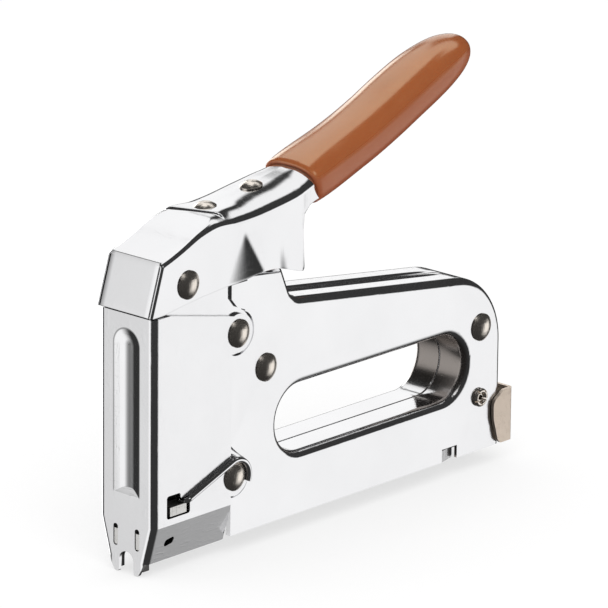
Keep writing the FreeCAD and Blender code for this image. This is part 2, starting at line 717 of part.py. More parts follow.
body_rivets = [
    domed_rivet(UPPER_RIVET, COVER_HALF), domed_rivet(LOWER_RIVET, COVER_HALF),
    domed_rivet(MIDDLE_RIVET, BODY_HALF), domed_rivet(REAR_RIVET, BODY_HALF),
]
keep("body_rivets", Part.makeCompound(body_rivets))
keep("handle_pivot", domed_rivet(PIVOT, COVER_HALF))


def make_clinch_rivet():
    """Semi-tubular rivet: rolled rim with split petals on the left, flat head on the right."""
    half = BODY_HALF + 0.05
    rivet = cross_pin(CLINCH_RIVET, size("rivet_shank"), -half - 0.3, half + 0.3)
    head = cross_pin(CLINCH_RIVET, 3.4, half, half + 1.3)
    head = head.makeFillet(0.8, [edge for edge in head.Edges if edge.BoundBox.YMin > half + 1.2])
    rivet = rivet.fuse(head)
    curl = Part.makeTorus(2.45, 0.95, Vector(CLINCH_RIVET[0], -half - 0.55, CLINCH_RIVET[1]), Vector(0, 1, 0))
    trim = cross_pin(CLINCH_RIVET, 6.0, -half - 5.0, -half)
    rivet = rivet.fuse(curl.common(trim)).fuse(cross_pin(CLINCH_RIVET, 2.3, -half - 0.5, -half))
    rivet = rivet.cut(cross_pin(CLINCH_RIVET, 1.0, -half - 3.0, -half + 4.0))
    petal = Part.makeBox(6.0, 1.4, 0.5, Vector(CLINCH_RIVET[0] + 0.8, -half - 2.1, CLINCH_RIVET[1] - 0.25))
    for index in range(5):
        cut = petal.copy()
        cut.rotate(Vector(CLINCH_RIVET[0], 0, CLINCH_RIVET[1]), Vector(0, 1, 0), 72.0 * index + 20.0)
        rivet = rivet.cut(cut)
    return keep("clinch_rivet", rivet)


make_clinch_rivet()


def make_top_rivets():
    """Two small domed rivets that hold the inner channel under the handle's top."""
    rivets = []
    head, dome = 4.0, 1.5
    ball = (head * head + dome * dome) / (2 * dome)
    for across in TOP_RIVETS:
        rivet = Part.makeCylinder(TOP_SHANK, 5.6, Vector(0, 0, -4.9), Vector(0, 0, 1))
        cap = Part.makeSphere(ball, Vector(0, 0, 0.5 + dome - ball))
        cap = cap.common(Part.makeCylinder(head, 5.0, Vector(0, 0, 0.5), Vector(0, 0, 1)))
        rim = Part.makeCylinder(head, 0.42, Vector(0, 0, 0.08), Vector(0, 0, 1))
        tail = Part.makeCylinder(2.6, 1.2, Vector(0, 0, -5.0), Vector(0, 0, 1))
        rivet = rivet.fuse(rim).fuse(cap).fuse(tail)
        rivet.Placement = on_top(across)
        rivets.append(rivet)
    return keep("handle_rivets", Part.makeCompound(rivets))


make_top_rivets()


def tube(place, outer, inner, low_y, high_y):
    """Bushing across the body."""
    return cross_pin(place, outer, low_y, high_y).cut(cross_pin(place, inner, low_y - 1.0, high_y + 1.0))


SHANK_HOLE = size("rivet_shank") + RUN
JOGGLE_IN = BODY_HALF - RECESS - SHEET - 0.05
PLAIN_IN = BODY_HALF - SHEET - 0.05
LEVER_HALF = size("lever_thick") / 2
keep("spacer_tubes", Part.makeCompound([
    tube(MIDDLE_RIVET, 4.0, SHANK_HOLE, -PLAIN_IN, PLAIN_IN),
    tube(REAR_RIVET, 4.0, SHANK_HOLE, -PLAIN_IN, PLAIN_IN),
    tube(LOWER_RIVET, 4.0, SHANK_HOLE, -JOGGLE_IN, JOGGLE_IN),
    tube(CLINCH_RIVET, 3.6, SHANK_HOLE, -PLAIN_IN, PLAIN_IN),
]))
keep("lever_bushings", Part.makeCompound([
    tube(UPPER_RIVET, 4.0, SHANK_HOLE, LEVER_HALF + 0.1, JOGGLE_IN),
    tube(UPPER_RIVET, 4.0, SHANK_HOLE, -JOGGLE_IN, -LEVER_HALF - 0.1),
]))
keep("pivot_bushing", tube(PIVOT, 3.9, SHANK_HOLE, -JOGGLE_IN, JOGGLE_IN))
keep("cam_pin", cross_pin(CAM_PIN, 3.0, -7.95, 7.95))


# ---------------------------------------------------------------- striker

def make_lift_lever():
    body = new_body("lift_lever")
    outline = rounded([
        (4.6, 80.3, 0.8), (20.0, 79.0, 6.0), (34.0, 72.0, 6.0), (46.0, 71.5, 6.0), (49.5, 82.0, 6.0),
        (55.6, 101.0, 1.5), (53.4, 102.6, 1.5), (42.0, 90.0, 5.0), (34.0, 87.5, 5.0), (18.0, 84.5, 6.0),
        (4.6, 83.6, 1.5),
    ])
    sketch = new_sketch(body, "XZ_Plane", outline)
    pad(body, sketch, "Sizes.lever_thick", both=True)
    hole = new_sketch(body, "XZ_Plane", [ring(UPPER_RIVET, SHANK_HOLE)])
    pocket(body, hole, "Sizes.lever_thick + 2", both=True)


make_lift_lever()

BAR_FRONT = 4.25
SHELF_TOP = 32.7
SHELF_LOW = 29.7


def make_plunger():
    body = new_body("plunger")
    profile = rounded([
        (BAR_FRONT, SHELF_LOW, 0.0), (20.6, SHELF_LOW, 1.0), (20.6, SHELF_TOP, 1.0),
        (BAR_FRONT + size("plunger_thick"), SHELF_TOP, 1.5), (BAR_FRONT + size("plunger_thick"), 88.5, 1.0),
        (BAR_FRONT, 88.5, 1.0),
    ])
    sketch = new_sketch(body, "XZ_Plane", profile)
    pad(body, sketch, "2 * 6.5", both=True)
    window = new_sketch(body, "YZ_Plane", rounded(box_outline(-2.6, 79.3, 2.6, 84.7, 0.6)))
    pocket(body, window, "40", both=True)
    holes = new_sketch(body, "YZ_Plane", [ring((0.0, 42.0), 1.52), ring((0.0, 54.0), 1.52)])
    pocket(body, holes, "40", both=True)


make_plunger()


def make_blade():
    body = new_body("driver_blade")
    half = size("blade_half")
    outline = rounded([(-half, 8.6, 0.3), (half, 8.6, 0.3), (half, 60.0, 1.0), (-half, 60.0, 1.0)])
    outline += [ring((0.0, 42.0), 1.52), ring((0.0, 54.0), 1.52)]
    sketch = new_sketch(body, "YZ_Plane", outline, "3.0")
    pad(body, sketch, "Sizes.blade_thick")


make_blade()
keep("blade_rivets", Part.makeCompound([
    Part.makeCylinder(1.5, 4.25, Vector(3.0, 0, height), Vector(1, 0, 0)) for height in (42.0, 54.0)]))


def coil(radius, wire, low, high, turns):
    """Round wire coil along +Z."""
    helix = Part.makeHelix((high - low) / turns, high - low, radius)
    start = Part.Wire([Part.makeCircle(wire, Vector(radius, 0, 0), Vector(0, 1, 0))])
    solid = Part.Wire(helix).makePipeShell([start], True, True)
    solid.translate(Vector(0, 0, low))
    return solid


SPRING_X = 14.0
SEAT_LOW = 70.4
main_spring = coil(size("coil_radius"), size("coil_wire"), SHELF_TOP + 1.1, SEAT_LOW - 1.1, 8)
main_spring.translate(Vector(SPRING_X, 0, 0))
keep("main_spring", main_spring)


def make_spring_seat():
    """Bent bracket between the housing walls that the main spring pushes up against."""
    seat = front_prism([(-JOGGLE_IN, 62.0, 0.0), (JOGGLE_IN, 62.0, 0.0), (JOGGLE_IN, SEAT_LOW + 2.0, 1.5),
                        (-JOGGLE_IN, SEAT_LOW + 2.0, 1.5)], 8.2, 22.0)
    inside = block((0.0, -JOGGLE_IN + 2.0, 50.0), (40.0, JOGGLE_IN - 2.0, SEAT_LOW))
    stub = Part.makeCylinder(3.4, 3.0, Vector(SPRING_X, 0, SEAT_LOW - 2.6), Vector(0, 0, 1))
    return keep("spring_seat", seat.cut(inside).fuse(stub))


make_spring_seat()


def make_bumper():
    """Rubber stop under the plunger's shelf."""
    made = doc.addObject("Part::Box", "bumper_block")
    made.Length = 12.0
    made.Width = 10.2
    made.Height = 9.2
    made.Placement = Placement(Vector(8.2, -5.1, 20.35), Rotation())
    doc.recompute()
    rounding = doc.addObject("Part::Fillet", "bumper")
    rounding.Base = made
    rounding.Edges = [(number, 1.0, 1.0) for number in range(1, 13)]
    rounding.Label = "bumper"
    doc.recompute()
    parts.append(rounding)


make_bumper()


def make_return_spring():
    """Torsion spring round the pivot bushing: one leg under the handle, one on the lever bushing."""
    radius, wire, turns = 4.8, 0.7, 3.5
    length = 6.6
    points = []
    steps = int(24 * turns)
    start_angle = math.radians(75.0)
    for step in range(steps + 1):
        angle = start_angle + 2 * math.pi * turns * step / steps
        points.append(Vector(PIVOT[0] + radius * math.cos(angle), 2.6 + length * step / steps,
                             PIVOT[1] + radius * math.sin(angle)))
    curve = Part.BSplineCurve()
    curve.interpolate(points)
    first = points[0]
    start = Vector(33.0, 2.6, 114.2)
    direction = (points[1] - points[0]).normalize()
    path = Part.Wire([curve.toShape()])
    ring_face = Part.Wire([Part.makeCircle(wire, first, direction)])
    spring = path.makePipeShell([ring_face], True, False)
    reach = start - first
    leg = Part.makeCylinder(wire, reach.Length, first, reach)
    last = points[-1]
    foot = Vector(38.0, 9.2, 84.9) - last
    other = Part.makeCylinder(wire, foot.Length, last, foot)
    ends = [Part.makeSphere(wire, first), Part.makeSphere(wire, last)]
    spring = spring.fuse(leg).fuse(other).fuse(ends[0]).fuse(ends[1])
    return keep("handle_return_spring", spring)


make_return_spring()


# ---------------------------------------------------------------- magazine

TRACK_FRONT = 4.6
TRACK_REAR = 179.2
TRACK_LOW = 6.8
TRACK_TOP = 19.0


def make_channel():
    """Open-topped channel the staples run in, with outward flanges behind the nose guide."""
    body = new_body("magazine_channel")
    half = size("track_half")
    thick = size("track_sheet")
    outline = rounded([
        (-half, TRACK_LOW, 1.6), (half, TRACK_LOW, 1.6), (half, TRACK_TOP, 0.0),
        (half - thick, TRACK_TOP, 0.0),
        (half - thick, TRACK_LOW + thick, 0.4), (-half + thick, TRACK_LOW + thick, 0.4),
        (-half + thick, TRACK_TOP, 0.0), (-half, TRACK_TOP, 0.0),
    ])
    sketch = new_sketch(body, "YZ_Plane", outline, str(TRACK_FRONT))
    pad(body, sketch, str(TRACK_REAR - TRACK_FRONT))


make_channel()


def make_core():
    """Inverted rail inside the channel that the staples straddle."""
    body = new_body("core_rail")
    half = size("core_half")
    outline = rounded([
        (-half, 9.2, 0.0), (-half + 1.0, 9.2, 0.0), (-half + 1.0, 14.8, 0.0), (half - 1.0, 14.8, 0.0),
        (half - 1.0, 9.2, 0.0), (half, 9.2, 0.0), (half, 16.0, 1.2), (-half, 16.0, 1.2),
    ])
    sketch = new_sketch(body, "YZ_Plane", outline, str(TRACK_FRONT))
    pad(body, sketch, str(TRACK_REAR - TRACK_FRONT))


make_core()


def make_lid():
    """Plate that closes the channel and carries the rubber stop."""
    body = new_body("magazine_lid")
    rim = PLAIN_IN
    outline = rounded([
        (6.4, -5.25, 0.8), (20.4, -5.25, 0.0), (20.4, -9.9, 0.8), (46.0, -9.9, 0.0), (46.0, -rim, 0.8),
        (174.0, -rim, 0.8), (174.0, rim, 0.8), (46.0, rim, 0.8), (46.0, 9.9, 0.0), (20.4, 9.9, 0.8),
        (20.4, 5.25, 0.0),
        (6.4, 5.25, 0.8),
    ])
    sketch = new_sketch(body, "XY_Plane", outline, "19.05")
    pad(body, sketch, "1.2")


make_lid()

ROD = size("rod_height")


def make_pusher():
    """Saddle that straddles the core and slides on the rod inside it."""
    half = size("core_half")
    outer = front_prism([(-half - 0.9, 8.1, 0.7), (half + 0.9, 8.1, 0.7), (half + 0.9, 17.4, 1.0),
                         (-half - 0.9, 17.4, 1.0)], 5.0, 19.0)
    gap = 0.1
    slot_left = front_prism(box_outline(-half - gap, 9.1, -half + 1.0 + gap, 16.1), 0.0, 30.0)
    slot_right = front_prism(box_outline(half - 1.0 - gap, 9.1, half + gap, 16.1), 0.0, 30.0)
    slot_top = front_prism(box_outline(-half - gap, 14.7, half + gap, 16.1), 0.0, 30.0)
    saddle = outer.cut(slot_left).cut(slot_right).cut(slot_top)
    bore = Part.makeCylinder(size("rod_radius") + 0.06, 40.0, Vector(0, 0, ROD), Vector(1, 0, 0))
    return keep("staple_pusher", saddle.cut(bore))


make_pusher()

CAP_BACK = 184.6


def make_pusher_rod():
    """Guide rod inside the core, fixed to the rear cap."""
    cylinder = doc.addObject("Part::Cylinder", "pusher_rod")
    cylinder.Label = "pusher_rod"
    cylinder.setExpression("Radius", "Sizes.rod_radius")
    cylinder.Height = CAP_BACK - 1.25 - 4.8
    cylinder.Placement = Placement(Vector(4.8, 0, ROD), Rotation(Vector(0, 1, 0), 90))
    doc.recompute()
    parts.append(cylinder)


make_pusher_rod()

pusher_spring = coil(1.65, 0.2, 0.0, 158.0, 36)
pusher_spring.Placement = Placement(Vector(19.4, 0, ROD), Rotation(Vector(0, 1, 0), 90))
keep("pusher_spring", pusher_spring)


def make_rear_cap():
    """U-shaped pull behind the housing: back plate, two ears along the sides and a rod socket."""
    ear_in = BODY_HALF + 0.3
    ear_out = ear_in + 1.2
    low, high = 7.3, 26.9
    plan_outer = block((160.0, -ear_out, low), (CAP_BACK, ear_out, high))
    back = [edge for edge in plan_outer.Edges
            if edge.BoundBox.ZLength > 5.0 and edge.BoundBox.XMin > CAP_BACK - 0.01]
    plan_outer = plan_outer.makeFillet(1.6, back)
    plan_inner = block((150.0, -ear_in, 0.0), (CAP_BACK - 1.2, ear_in, 40.0))
    shell = plan_outer.cut(plan_inner)
    ear = side_prism([
        (178.2, low, 0.8), (CAP_BACK + 1.0, low, 0.0), (CAP_BACK + 1.0, high, 0.0), (179.6, high, 1.2),
        (174.0, 23.4, 4.0), (174.2, 17.0, 8.0), (176.6, 8.6, 3.0),
    ], -20.0, 20.0)
    shell = shell.common(ear)
    socket = Part.makeCylinder(3.2, 3.4, Vector(CAP_BACK - 4.4, 0, ROD), Vector(1, 0, 0))
    bore = Part.makeCylinder(size("rod_radius") + 0.02, 3.25, Vector(CAP_BACK - 4.5, 0, ROD), Vector(1, 0, 0))
    socket = socket.cut(bore)
    return keep("rear_cap", shell.fuse(socket))


make_rear_cap()


# ---------------------------------------------------------------- nose guide and its springs

LUG_TOP = 24.2


def make_nose_guide():
    """Hardened grooved guide that floats in the nose; its lugs show in the cover's slots."""
    front = front_prism([
        (-6.6, 1.4, 0.8), (6.6, 1.4, 0.8), (6.9, 6.0, 0.0), (6.9, 24.2, 1.0), (-6.9, 24.2, 1.0),
        (-6.9, 6.0, 0.0),
    ], 1.3, 2.7)
    notch = front_prism([(-3.4, -3.0, 0.0), (3.4, -3.0, 0.0), (3.4, 7.9, 3.3), (-3.4, 7.9, 3.3)], 0.0, 12.0)
    guide = front.cut(notch)
    for side in (-1, 1):
        wall = block((1.3, 5.45, 5.2), (17.2, 6.7, 24.2))
        lower = block((1.3, 5.45, 1.6), (4.2, 6.7, 5.3))
        lug = block((8.3, 6.6, 21.0), (16.3, 12.5, LUG_TOP))
        key = block((0.25, 4.15, 9.4), (1.4, 5.85, 15.0))
        piece = wall.fuse(lower).fuse(lug).fuse(key)
        if side < 0:
            piece = piece.mirror(Vector(0, 0, 0), Vector(0, 1, 0))
        guide = guide.fuse(piece)
    return keep("nose_guide", guide)


make_nose_guide()


def bent_path(corners):
    """Open wire through points in space; each corner is (point, bend radius)."""
    pieces = []
    leave = corners[0][0]
    for index in range(1, len(corners) - 1):
        here, radius = corners[index]
        back = (corners[index - 1][0] - here).normalize()
        ahead = (corners[index + 1][0] - here).normalize()
        half = back.getAngle(ahead) / 2
        reach = radius / math.tan(half)
        middle = (back + ahead).normalize()
        centre = here + middle * (radius / math.sin(half))
        arrive = here + back * reach
        pieces.append(Part.LineSegment(leave, arrive).toShape())
        leave = here + ahead * reach
        pieces.append(Part.Arc(arrive, centre - middle * radius, leave).toShape())
    pieces.append(Part.LineSegment(leave, corners[-1][0]).toShape())
    return pieces


def make_wire_spring(label, side):
    """Round wire from on top of the guide lug up to the lower rivet, hooked over its head."""
    radius = size("wire_radius")
    out = (COVER_HALF + radius + 0.06) * side
    hook_radius = size("rivet_head") + radius + 0.2
    lug = Vector(15.2, 10.9 * side, LUG_TOP + radius + 0.06)
    bend = Vector(15.2, out, LUG_TOP + radius + 0.06)
    # The straight run meets the hook where it is tangent to the circle round the rivet.
    run = Vector(LOWER_RIVET[0] - bend.x, 0, LOWER_RIVET[1] - bend.z)
    swing = math.atan2(run.z, run.x) + math.asin(hook_radius / run.Length)
    start = math.radians(90.0) + swing
    stop = math.radians(-25.0)

    def on_hook(angle):
        return Vector(LOWER_RIVET[0] + hook_radius * math.cos(angle), out,
                      LOWER_RIVET[1] + hook_radius * math.sin(angle))

    pieces = bent_path([(lug, 0.0), (bend, 1.6), (on_hook(start), 0.0)])
    pieces.append(Part.Arc(on_hook(start), on_hook((start + stop) / 2), on_hook(stop)).toShape())
    path = Part.Wire(pieces)
    ring_wire = Part.Wire([Part.makeCircle(radius, lug, Vector(0, side, 0))])
    return keep(label, path.makePipeShell([ring_wire], True, True))


make_wire_spring("wire_spring_left", -1)
make_wire_spring("wire_spring_right", 1)


# ---------------------------------------------------------------- check and write

doc.recompute()
for made in doc.Objects:
    if "Invalid" in made.State or "Error" in made.State:
        raise RuntimeError(made.Name + " " + str(made.State))
os.makedirs("parts", exist_ok=True)
for made in parts:
    if made.Shape.isNull() or not made.Shape.isValid():
        raise RuntimeError(made.Label + " has no valid shape")
    made.Shape.exportStep("parts/" + made.Label + ".step")
    box = made.Shape.BoundBox
    print("%-22s solids %d vol %9.1f  X %.1f..%.1f Y %.1f..%.1f Z %.1f..%.1f" % (
        made.Label, len(made.Shape.Solids), made.Shape.Volume, box.XMin, box.XMax, box.YMin, box.YMax,
        box.ZMin, box.ZMax))
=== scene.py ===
import json
import math

import bmesh
import bpy
from mathutils import Matrix, Vector


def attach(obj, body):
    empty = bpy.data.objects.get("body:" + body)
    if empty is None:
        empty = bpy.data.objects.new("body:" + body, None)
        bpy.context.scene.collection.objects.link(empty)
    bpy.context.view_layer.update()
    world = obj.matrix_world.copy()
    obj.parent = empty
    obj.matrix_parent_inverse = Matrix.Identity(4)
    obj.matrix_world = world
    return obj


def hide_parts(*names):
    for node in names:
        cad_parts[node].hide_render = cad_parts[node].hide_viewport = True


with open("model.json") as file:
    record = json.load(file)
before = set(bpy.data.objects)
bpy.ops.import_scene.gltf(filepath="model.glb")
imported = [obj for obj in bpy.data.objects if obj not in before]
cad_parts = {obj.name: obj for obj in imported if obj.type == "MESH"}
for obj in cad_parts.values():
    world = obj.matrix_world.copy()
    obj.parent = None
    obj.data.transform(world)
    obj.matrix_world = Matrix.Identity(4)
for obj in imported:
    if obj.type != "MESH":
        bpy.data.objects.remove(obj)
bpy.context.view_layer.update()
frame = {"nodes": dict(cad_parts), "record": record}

# Staple gun. X runs from the nose to the rear, Y from the shown side to the far side, Z up.
# The studio and the materials work in metres, the mesh pieces in millimetres.
NODES = frame["nodes"]
scene = bpy.context.scene
scene.view_settings.view_transform = "Standard"

# ------------------------------------------------------------------ camera
CAMERA_AZIMUTH = math.radians(47.76)
CAMERA_HEIGHT = math.radians(17.0)
CAMERA_ROLL = math.radians(0.565)
CAMERA_PLACE = Vector((-1.3776, -1.3309, 0.6812))
FOCAL_MM = 355.26
SENSOR_MM = 36.0
NEAREST = 0.05
FARTHEST = 50.0


def make_camera():
    back = Vector((
        -math.sin(CAMERA_AZIMUTH) * math.cos(CAMERA_HEIGHT),
        -math.cos(CAMERA_AZIMUTH) * math.cos(CAMERA_HEIGHT),
        math.sin(CAMERA_HEIGHT),
    ))
    level_right = (-back).cross(Vector((0.0, 0.0, 1.0))).normalized()
    level_up = back.cross(level_right)
    right = math.cos(CAMERA_ROLL) * level_right + math.sin(CAMERA_ROLL) * level_up
    up = -math.sin(CAMERA_ROLL) * level_right + math.cos(CAMERA_ROLL) * level_up
    data = bpy.data.cameras.new("camera")
    data.lens = FOCAL_MM
    data.sensor_width = SENSOR_MM
    data.clip_start = NEAREST
    data.clip_end = FARTHEST
    camera = bpy.data.objects.new("camera", data)
    scene.collection.objects.link(camera)
    turn = Matrix((right, up, back)).transposed().to_4x4()
    camera.matrix_world = Matrix.Translation(CAMERA_PLACE) @ turn
    scene.camera = camera


make_camera()


# ------------------------------------------------------------------ node helpers
class Graph:
    """Short way to build a node tree."""

    def __init__(self, tree):
        self.tree = tree
        tree.nodes.clear()

    def add(self, kind, values=None, **settings):
        """Node with its settings; a value that is a socket is linked, any other is set."""
        node = self.tree.nodes.new(kind)
        for key, value in settings.items():
            setattr(node, key, value)
        for key, value in (values or {}).items():
            if isinstance(value, bpy.types.NodeSocket):
                self.tree.links.new(value, node.inputs[key])
            else:
                node.inputs[key].default_value = value
        return node

    def math(self, operation, *values):
        return self.add("ShaderNodeMath", dict(enumerate(values)), operation=operation).outputs[0]

    def plus(self, first, second):
        return self.math("ADD", first, second)

    def minus(self, first, second):
        return self.math("SUBTRACT", first, second)

    def times(self, first, *others):
        for other in others:
            first = self.math("MULTIPLY", first, other)
        return first

    def apart(self, value):
        return self.math("ABSOLUTE", value)

    def spread(self, share, low, high):
        """Low where share is 0, high where it is 1."""
        return self.math("MULTIPLY_ADD", share, high - low, low)

    def smooth(self, value, low, high, start=0.0, end=1.0):
        """Smooth step from start, where value is at low, to end, where it is at high."""
        node = self.add(
            "ShaderNodeMapRange",
            {"Value": value, "From Min": low, "From Max": high, "To Min": start, "To Max": end},
            interpolation_type="SMOOTHSTEP")
        return node.outputs["Result"]

    def window(self, value, low, high, soft_low, soft_high):
        """1 between low and high, with soft sides."""
        rise = self.smooth(value, low - soft_low, low + soft_low)
        fall = self.smooth(value, high - soft_high, high + soft_high, 1.0, 0.0)
        return self.times(rise, fall)

    def axes(self, vector):
        """The X, Y and Z sockets of a vector."""
        return tuple(self.add("ShaderNodeSeparateXYZ", {"Vector": vector}).outputs)

    def place(self):
        return self.add("ShaderNodeTexCoord").outputs["Object"]

    def facing(self, direction):
        """How far the surface faces a direction, from -1 to 1."""
        outward = self.add("ShaderNodeTexCoord").outputs["Normal"]
        node = self.add("ShaderNodeVectorMath", {0: outward, 1: direction}, operation="DOT_PRODUCT")
        return node.outputs["Value"]

    def noise(self, vector, scale, detail, rough):
        node = self.add("ShaderNodeTexNoise",
                        {"Vector": vector, "Scale": scale, "Detail": detail, "Roughness": rough})
        return node.outputs["Fac"]

    def brushed(self, vector, scale, detail):
        """Noise drawn out into streaks along the axes with the smaller scales."""
        mapping = self.add("ShaderNodeMapping", {"Vector": vector, "Scale": scale})
        return self.noise(mapping.outputs["Vector"], 1.0, detail, 0.6)

    def mix_colour(self, factor, first, second):
        return self.add("ShaderNodeMix", {0: factor, 6: first, 7: second}, data_type="RGBA").outputs[2]

    def bump(self, height, strength, distance, below=None):
        """Normal of a bump, on top of the normal below it."""
        values = {"Height": height, "Strength": strength, "Distance": distance}
        if below is not None:
            values["Normal"] = below
        return self.add("ShaderNodeBump", values).outputs["Normal"]

    def finish(self, kind, shader):
        output = self.add(kind)
        self.tree.links.new(shader.outputs[0], output.inputs[0])


def opaque(colour, share=1.0):
    """Colour with its alpha, made darker or lighter by share."""
    return tuple([min(channel_shade * share, 1.0) for channel_shade in colour] + [1.0])


def new_material(name):
    material = bpy.data.materials.new(name)
    material.use_nodes = True
    return material, Graph(material.node_tree)


# ------------------------------------------------------------------ studio
# White cards round the gun, as (azimuth from, to, soft from, to), (height from, to, soft from, to) and
# brightness. Azimuth is in degrees from +X towards +Y, height in degrees above the horizon.
CARDS = [
    ((-58.0, -14.0, 10.0, 6.0), (-36.0, 2.0, 13.0, 4.0), 1.02),
    ((128.0, 176.0, 22.0, 6.0), (-60.0, 25.0, 8.0, 7.0), 1.02),
    ((35.0, 52.0, 3.0, 3.0), (1.0, 31.0, 3.0, 3.0), 1.05),
    ((-16.0, 60.0, 6.0, 4.0), (44.0, 63.0, 3.0, 3.0), 1.0),
    ((50.0, 74.0, 2.0, 3.0), (30.0, 80.0, 2.0, 5.0), 1.05),
    ((20.0, 90.0, 6.0, 6.0), (60.0, 100.0, 3.0, 1.0), 1.1),
    ((-112.0, -84.0, 4.0, 4.0), (36.0, 60.0, 4.0, 4.0), 1.0),
    ((55.5, 84.0, 2.0, 6.0), (-25.0, 24.0, 4.0, 2.0), 2.6),
]
ROOM = 0.035
WHITE = (1.0, 1.0, 1.0)
FLOOR_HALF = 6.0
FLOOR_DROP = 0.0002
FLOOR_GREY = (0.30, 0.30, 0.30)
FLOOR_GLOW = 0.68
KEY_PLACE = Vector((-0.6, -0.9, 1.3))
KEY_TARGET = Vector((0.06, 0.0, 0.08))
KEY_SIDE = 1.2
KEY_WATTS = 9.0


def make_world():
    """White to the camera and to matt surfaces; shiny metal mirrors a dark room with the cards in it."""
    world = bpy.data.worlds.new("studio")
    scene.world = world
    world.use_nodes = True
    graph = Graph(world.node_tree)
    forward, across, upright = graph.axes(graph.add("ShaderNodeTexCoord").outputs["Generated"])
    azimuth = graph.times(graph.math("ARCTAN2", across, forward), 180.0 / math.pi)
    height = graph.times(graph.math("ARCSINE", upright), 180.0 / math.pi)
    total = ROOM
    for sideways, upwards, power in CARDS:
        card = graph.times(graph.window(azimuth, *sideways), graph.window(height, *upwards))
        total = graph.math("MAXIMUM", total, graph.times(card, power))
    mirrored = graph.add("ShaderNodeCombineColor", {"Red": total, "Green": total, "Blue": total}).outputs[0]
    glossy = graph.add("ShaderNodeLightPath").outputs["Is Glossy Ray"]
    colour = graph.mix_colour(glossy, opaque(WHITE), mirrored)
    background = graph.add("ShaderNodeBackground", {"Color": colour, "Strength": 1.0})
    graph.finish("ShaderNodeOutputWorld", background)


def make_floor():
    mesh = bpy.data.meshes.new("floor")
    shape = bmesh.new()
    bmesh.ops.create_grid(shape, x_segments=1, y_segments=1, size=FLOOR_HALF)
    shape.to_mesh(mesh)
    shape.free()
    floor = bpy.data.objects.new("floor", mesh)
    floor.location = (0.0, 0.0, -FLOOR_DROP)
    scene.collection.objects.link(floor)
    floor.visible_glossy = False
    material, graph = new_material("floor_white")
    shader = graph.add("ShaderNodeBsdfPrincipled", {
        "Base Color": opaque(FLOOR_GREY), "Roughness": 0.9, "Specular IOR Level": 0.0,
        "Emission Color": opaque(WHITE), "Emission Strength": FLOOR_GLOW,
    })
    graph.finish("ShaderNodeOutputMaterial", shader)
    mesh.materials.append(material)


def make_key_light():
    data = bpy.data.lights.new("key", "AREA")
    data.shape = "RECTANGLE"
    data.size = KEY_SIDE
    data.size_y = KEY_SIDE
    data.energy = KEY_WATTS
    light = bpy.data.objects.new("key", data)
    light.location = KEY_PLACE
    light.rotation_euler = (KEY_TARGET - KEY_PLACE).to_track_quat("-Z", "Y").to_euler()
    scene.collection.objects.link(light)
    light.visible_glossy = False


make_world()
make_floor()
make_key_light()

# ------------------------------------------------------------------ metal
WORN_EDGE = (0.52, 0.62)
WORN_ROUGH = 0.10
CLOUD_SCALE = 45.0
WAVE_SCALE = 22.0
WAVE_HEIGHT = 0.004
STREAKS_LEVEL = (220.0, 260.0, 1400.0)
STREAKS_UPRIGHT = (1500.0, 300.0, 180.0)
SCRATCH_HEIGHT = 0.0001
SCRATCH_ROUGH = 0.03
TO_THE_NOSE = (-1.0, 0.0, 0.0)
# Black of the painted shade behind the front plate and in the staple channel.
SHADE_BLACK = (0.03, 0.03, 0.03)


class Metal:
    """A metal finish while it is made: its graph, the place on the piece, tone, roughness and normal."""

    def __init__(self, name, colour, rough, wave, scratch):
        """Slow waves of the pressed sheet, fine handling scratches, worn edges and a faint cloud."""
        self.material, self.graph = new_material(name)
        graph = self.graph
        self.place = graph.place()
        self.share = 1.0
        worn = graph.smooth(graph.add("ShaderNodeNewGeometry").outputs["Pointiness"], *WORN_EDGE)
        cloud = graph.noise(self.place, CLOUD_SCALE, 4.0, 0.55)
        marks = graph.plus(
            graph.smooth(graph.brushed(self.place, STREAKS_LEVEL, 3.0), 0.52, 0.72),
            graph.smooth(graph.brushed(self.place, STREAKS_UPRIGHT, 2.0), 0.55, 0.75))
        self.rough = graph.spread(cloud, *rough)
        self.rough = graph.plus(self.rough, graph.times(marks, SCRATCH_ROUGH))
        self.rough = graph.plus(self.rough, graph.times(worn, WORN_ROUGH))
        self.tone = graph.mix_colour(cloud, opaque(colour, 0.93), opaque(colour, 1.04))
        self.normal = graph.bump(graph.noise(self.place, WAVE_SCALE, 1.0, 0.4), wave, WAVE_HEIGHT)
        self.normal = graph.bump(marks, scratch, SCRATCH_HEIGHT, self.normal)

    def tint(self, factor, colour):
        self.tone = self.graph.mix_colour(factor, self.tone, opaque(colour))

    def finish(self):
        shader = self.graph.add("ShaderNodeBsdfPrincipled", {
            "Base Color": self.tone, "Metallic": self.share, "Roughness": self.rough, "Normal": self.normal,
        })
        self.graph.finish("ShaderNodeOutputMaterial", shader)
        return self.material


RAIL_HEIGHT = (0.072, 0.076)
ROLL_WIDTH = (0.0003, 0.0040)
ROLL_DEPTH = 0.0019


def flange_roll(metal):
    """The flange edges roll down on top of the rail, where the two housings meet at Y = 0."""
    graph = metal.graph
    across, upright = graph.axes(metal.place)[1:]
    level = graph.smooth(graph.apart(across), *ROLL_WIDTH)
    roll = graph.times(graph.minus(level, 1.0), graph.smooth(upright, *RAIL_HEIGHT))
    metal.normal = graph.bump(roll, 1.0, ROLL_DEPTH, metal.normal)


JOGGLE = (0.0375, 0.0390, 0.0003, 0.0003)
JOGGLE_FOOT = (0.0170, 0.0185)


def joggle_haze(metal):
    """The foot of the joggle step, below the wing of the front cover, keeps a dull white plating haze."""
    graph = metal.graph
    forward, upright = graph.axes(metal.place)[::2]
    haze = graph.times(
        graph.window(forward, *JOGGLE),
        graph.smooth(upright, *JOGGLE_FOOT, 1.0, 0.0),
        graph.smooth(graph.facing(TO_THE_NOSE), 0.4, 0.8))
    metal.share = graph.minus(1.0, haze)


